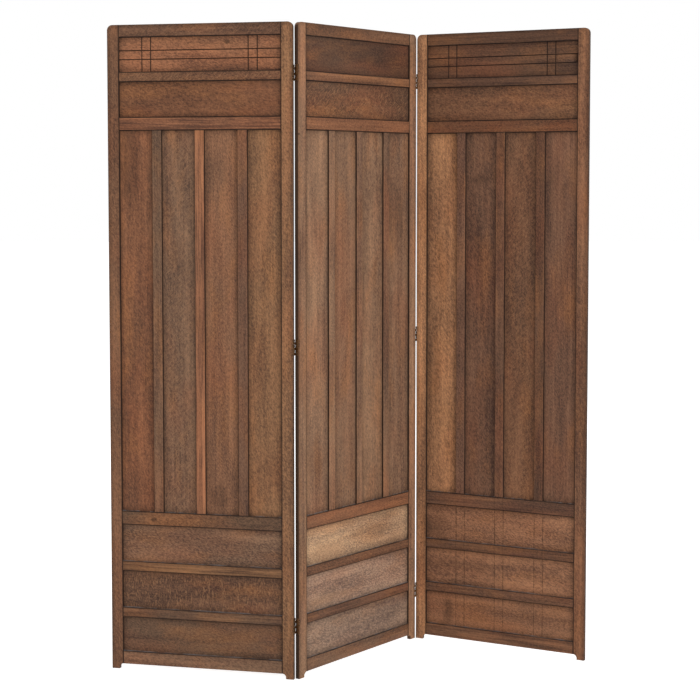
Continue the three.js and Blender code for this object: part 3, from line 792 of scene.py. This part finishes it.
def dressLeaf(leaf):
    toLocal = leafPlace(leaf)
    name = lambda piece: f"{leaf}_{piece}"
    stiles = {side: cadShape(name(side + "_stile"), toLocal) for side in ("left", "right")}
    rails = {piece: cadShape(name(piece), toLocal) for piece in railNames}
    leftLow, leftHigh = extent(stiles["left"])
    rightLow, rightHigh = extent(stiles["right"])
    leafSizes[leaf] = {"innerX": rightLow.x, "outerX": rightHigh.x, "top": leftHigh.z}
    innerX = rightLow.x
    railSpans = {piece: extent(shape) for piece, shape in rails.items()}

    # the ladder round the boards is one solid in the frame: its rails and muntins show apart
    ladder = cadShape(name("field_frame"), toLocal)
    ladderLow, ladderHigh = extent(ladder)
    uprights = sorted({round(e.verts[0].co.x, 5) for e in ladder.edges
                       if abs(e.verts[0].co.x - e.verts[1].co.x) < 1e-6 and e.calc_length() > 0.8
                       and abs(e.verts[0].co.y - ladderLow.y) < 1e-5})
    field = [e for e in ladder.edges if abs(e.verts[0].co.z - e.verts[1].co.z) < 1e-6
             and abs(e.verts[0].co.y - ladderLow.y) < 1e-5 and abs(e.verts[1].co.y - ladderLow.y) < 1e-5]
    middle = (ladderLow.z + ladderHigh.z) / 2
    levels = [e.verts[0].co.z for e in field]
    inside = [z for z in levels if z - ladderLow.z > 1e-4 and ladderHigh.z - z > 1e-4]
    fieldLow = max(z for z in inside if z < middle)
    fieldHigh = min(z for z in inside if z > middle)
    spans = {
        "lower_rail": (2, None, fieldLow),
        "upper_rail": (2, fieldHigh, None),
    }
    pieces = []
    for piece, (axis, low, high) in spans.items():
        shape = keepBetween(ladder.copy(), axis, low, high)
        railSpans[piece] = extent(shape)
        pieces.append(finishWood(leaf, piece, shape, toLocal))
    bars = keepBetween(ladder.copy(), 2, fieldLow, fieldHigh)
    muntins = list(zip(uprights[0::2], uprights[1::2]))
    for index, (x0, x1) in enumerate(muntins):
        shape = keepBetween(bars.copy(), 0, (x0 + muntins[index - 1][1]) / 2 if index else None,
                            (x1 + muntins[index + 1][0]) / 2 if index + 1 < len(muntins) else None)
        pieces.append(finishWood(leaf, f"muntin_{index + 1}", shape, toLocal))
    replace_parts(pieces[0], name("field_frame"))
    bars.free()
    ladder.free()

    for side, shape in stiles.items():
        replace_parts(finishWood(leaf, side + "_stile", shape, toLocal), name(side + "_stile"))
    for piece, shape in rails.items():
        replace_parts(finishWood(leaf, piece, shape, toLocal), name(piece))

    # what shows of each panel lies between the rails above and below it
    gaps = {
        "top_panel": ("frieze_rail", "top_rail"),
        "frieze_panel": ("upper_rail", "frieze_rail"),
        "base_panel_1": ("base_rail_upper", "lower_rail"),
        "base_panel_2": ("base_rail_lower", "base_rail_upper"),
        "base_panel_3": ("bottom_rail", "base_rail_lower"),
    }
    for piece, (below, above) in gaps.items():
        shown = (-innerX, innerX, railSpans[below][1].z, railSpans[above][0].z)
        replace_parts(finishWood(leaf, piece, cadShape(name(piece), toLocal), toLocal, shown), name(piece))

    sides = [-innerX] + uprights + [innerX]
    bays = list(zip(sides[0::2], sides[1::2]))
    tied = name("boards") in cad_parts
    for index, (x0, x1) in enumerate(bays):
        piece = f"board_{index + 1}"
        shape = cadShape(name("boards" if tied else piece), toLocal)
        if tied:
            # the middle leaf's boards are one solid, cut apart behind the muntins
            shape = keepBetween(shape, 0, (bays[index - 1][1] + x0) / 2 if index else None,
                                (x1 + bays[index + 1][0]) / 2 if index + 1 < len(bays) else None)
        made = finishWood(leaf, piece, shape, toLocal, (x0, x1, fieldLow, fieldHigh))
        if not tied or index == 0:
            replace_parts(made, name("boards" if tied else piece))


for leaf in ("left_leaf", "middle_leaf", "right_leaf"):
    dressLeaf(leaf)
    print(leaf, "dressed")


# ---- hinges: double-action, with one knuckle line in front of the gap and one behind

hinge = {
    "leafGap": 0.0008,
    "halfLeaf": 0.006,          # half of the leaf's thickness
    "height": 0.042,
    "plateFace": 0.0008,        # from the middle of the gap
    "plateThickness": 0.0012,
    "lineOffset": 0.0073,       # knuckle lines, from the middle of the leaf's thickness
    "knuckles": 6,
    "knuckleGap": 0.0004,
    "earThickness": 0.001,
    "linkThickness": 0.0012,
    "linkEnd": 0.0037,
    "pinRadius": 0.0006,
    "soften": 0.00016,
}
knuckle = {"Radius": 0.00115, "Height": 0.0066, "Chamfer": 0.00025, "Sides": 20}
screw = {"Head radius": 0.0021, "Head height": 0.0008, "Slot width": 0.0005, "Slot depth": 0.0004, "Seed": 5}
screwPlaces = {"spacing": 0.0135, "proud": 0.00012}


def makeKnuckleGrowth():
    # a barrel with chamfered ends stands on every point
    g = Growth("knuckleBarrels", knuckle)
    radius, height = g.given["Radius"], g.given["Height"]
    barrel = g.add("GeometryNodeMeshCylinder", {"Vertices": g.given["Sides"], "Side Segments": 10,
                                               "Radius": radius, "Depth": height})["Mesh"]
    place = g.add("GeometryNodeInputPosition")[0]
    x, y, z = list(g.add("ShaderNodeSeparateXYZ", {0: place}))[:3]
    isEnd = g.math("GREATER_THAN", g.math("ABSOLUTE", z, 0.0), g.math("MULTIPLY", height, 0.49))
    narrow = g.math("DIVIDE", g.given["Chamfer"], radius)
    scale = g.math("SUBTRACT", 1.0, g.math("MULTIPLY", isEnd, narrow))
    moved = g.add("ShaderNodeCombineXYZ", {0: g.math("MULTIPLY", x, scale),
                                           1: g.math("MULTIPLY", y, scale), 2: z})[0]
    barrel = g.add("GeometryNodeSetPosition", {"Geometry": barrel, "Position": moved})[0]
    made = g.add("GeometryNodeInstanceOnPoints", {"Points": g.given["Geometry"], "Instance": barrel})[0]
    g.finish(made, brassMaterial)
    return g


def makeScrewGrowth():
    # a slotted head lies on every point, turned to face along the point's own direction
    g = Growth("slottedScrews", screw)
    radius, height = g.given["Head radius"], g.given["Head height"]
    head = g.add("GeometryNodeMeshCone", {"Vertices": 20, "Radius Top": radius, "Depth": height,
                                          "Radius Bottom": g.math("MULTIPLY", radius, 0.6)})["Mesh"]
    deep, wide = g.given["Slot depth"], g.given["Slot width"]
    size = g.add("ShaderNodeCombineXYZ", {0: g.math("MULTIPLY", radius, 2.2), 1: wide,
                                          2: g.math("MULTIPLY", deep, 2.0)})[0]
    bar = g.add("GeometryNodeMeshCube", {"Size": size})["Mesh"]
    atTop = g.add("ShaderNodeCombineXYZ", {2: height})[0]
    bar = g.add("GeometryNodeTransform", {"Geometry": bar, "Translation": atTop})[0]
    head = g.add("GeometryNodeMeshBoolean", {0: head, 1: bar}, operation="DIFFERENCE", solver="EXACT")[0]
    head = g.add("GeometryNodeTransform", {"Geometry": head, "Translation":
                 g.add("ShaderNodeCombineXYZ", {2: g.math("MULTIPLY", height, -1.0)})[0]})[0]
    facing = g.add("GeometryNodeInputNamedAttribute", {"Name": "facing"}, data_type="FLOAT_VECTOR")["Attribute"]
    turn = g.add("FunctionNodeAlignRotationToVector", {"Vector": facing}, axis="Z")[0]
    chance = g.add("FunctionNodeRandomValue", {"Seed": g.given["Seed"]}, data_type="FLOAT_VECTOR")
    roll = g.add("ShaderNodeSeparateXYZ", {0: chance[0]})[0]
    spin = g.add("FunctionNodeAxisAngleToRotation", {"Axis": (0.0, 0.0, 1.0),
                                                     "Angle": g.math("MULTIPLY", roll, math.pi)})[0]
    turn = g.add("FunctionNodeRotateRotation", {0: turn, 1: spin}, rotation_space="LOCAL")[0]
    made = g.add("GeometryNodeInstanceOnPoints", {"Points": g.given["Geometry"], "Instance": head,
                                                  "Rotation": turn})[0]
    g.finish(made, brassMaterial)
    return g


knuckleGrowth = makeKnuckleGrowth()
screwGrowth = makeScrewGrowth()


def addBlock(shape, x, y, z):
    # a bar between three pairs of places, with softened edges
    made = bmesh.ops.create_cube(shape, size=1.0)["verts"]
    for vertex in made:
        for axis, (start, end) in enumerate((x, y, z)):
            vertex.co[axis] = min(start, end) if vertex.co[axis] < 0.0 else max(start, end)
    edges = {edge for vertex in made for edge in vertex.link_edges}
    bmesh.ops.bevel(shape, geom=list(edges), offset=hinge["soften"], offset_type="OFFSET", segments=2,
                    profile=0.5, affect="EDGES", clamp_overlap=True)


def addRod(shape, radius, x, y, z0, z1, sides=14):
    made = bmesh.ops.create_cone(shape, cap_ends=True, segments=sides, radius1=radius, radius2=radius,
                                 depth=z1 - z0)
    bmesh.ops.translate(shape, verts=made["verts"], vec=(x, y, (z0 + z1) / 2))


def knuckleSpan(index):
    pitch = hinge["height"] / hinge["knuckles"]
    top = hinge["height"] / 2 - index * pitch
    return top - pitch + hinge["knuckleGap"] / 2, top - hinge["knuckleGap"] / 2


def hingeHalf(withPin):
    # the half on the right of the gap: its solid bars, where its knuckles stand and where its screws go
    shape = bmesh.new()
    half, line = hinge["height"] / 2, hinge["lineOffset"]
    face = hinge["plateFace"]
    back = face + hinge["plateThickness"]
    thin, link = hinge["earThickness"] / 2, hinge["linkThickness"] / 2
    addBlock(shape, (face, back), (-hinge["halfLeaf"], hinge["halfLeaf"]), (-half, half))
    for side, indexes in ((-1, (0, 1, 2)), (1, (3, 5))):
        for index in indexes:
            z = knuckleSpan(index)
            root = side * (hinge["halfLeaf"] - hinge["plateThickness"])
            addBlock(shape, (face, back), (root, side * (line + thin)), z)
            addBlock(shape, (0.0, back), (side * line - thin, side * line + thin), z)
    addBlock(shape, (-link, link), (-line, hinge["linkEnd"]), (hinge["knuckleGap"] / 2, half))
    addBlock(shape, (-link, link), (0.0, line), knuckleSpan(1))
    if withPin:
        addRod(shape, hinge["pinRadius"], 0.0, line, -half, half)
    middle = lambda index: sum(knuckleSpan(index)) / 2
    barrels = [Vector((0.0, -line, middle(i))) for i in (0, 1, 2)]
    barrels += [Vector((0.0, line, middle(i))) for i in (1, 3, 5)]
    heads = [Vector((face - screwPlaces["proud"], 0.0, screwPlaces["spacing"] * i)) for i in (-1, 0, 1)]
    return shape, barrels, heads


def finishMetal(mesh, name, body):
    mesh.materials.clear()
    mesh.materials.append(brassMaterial)
    mesh.shade_smooth()
    mesh.set_sharp_from_angle(angle=math.radians(32.0))
    made = bpy.data.objects.new(name, mesh)
    bpy.context.scene.collection.objects.link(made)
    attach(made, body)
    return made


def placeHinges():
    barrels, heads, facing = {}, {}, {}
    bodies = {("left_line", "inner"): ("middle_leaf", -1.0), ("left_line", "outer"): ("left_leaf", 1.0),
              ("right_line", "inner"): ("middle_leaf", 1.0), ("right_line", "outer"): ("right_leaf", -1.0)}
    for (lineName, halfName), (leaf, side) in bodies.items():
        fromLocal = leafPlace(leaf).inverted()
        gapX = side * (leafSizes[leaf]["outerX"] + hinge["leafGap"] / 2)
        for place in ("top", "mid", "foot"):
            node = f"{lineName}_hinge_{place}_{halfName}"
            low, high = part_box(node)
            # an outer half is upside down, and the right line works on its front knuckles
            stance = fromLocal @ Matrix.Translation((gapX, 0.0, (low[2] + high[2]) / 2))
            if lineName == "right_line":
                stance = stance @ Matrix.Rotation(math.pi, 4, "Z")
            if halfName == "outer":
                stance = stance @ Matrix.Rotation(math.pi, 4, "Y")
            shape, stands, screws = hingeHalf(halfName == "inner")
            mesh = bpy.data.meshes.new(node + "_metal")
            shape.to_mesh(mesh)
            shape.free()
            mesh.transform(stance)
            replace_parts(finishMetal(mesh, node + "_metal", leaf), node)
            barrels.setdefault(leaf, []).extend(stance @ stand for stand in stands)
            heads.setdefault(leaf, []).extend(stance @ spot for spot in screws)
            out = stance.to_3x3() @ Vector((-1.0, 0.0, 0.0))
            facing.setdefault(leaf, []).extend([out] * len(screws))
    for leaf in barrels:
        finishMetal(knuckleGrowth.grow(pointMesh("knucklePoints", barrels[leaf])), leaf + "_knuckles", leaf)
        points = pointMesh("screwPoints", heads[leaf], facing[leaf])
        finishMetal(screwGrowth.grow(points), leaf + "_screws", leaf)


placeHinges()
print("hinges finished")
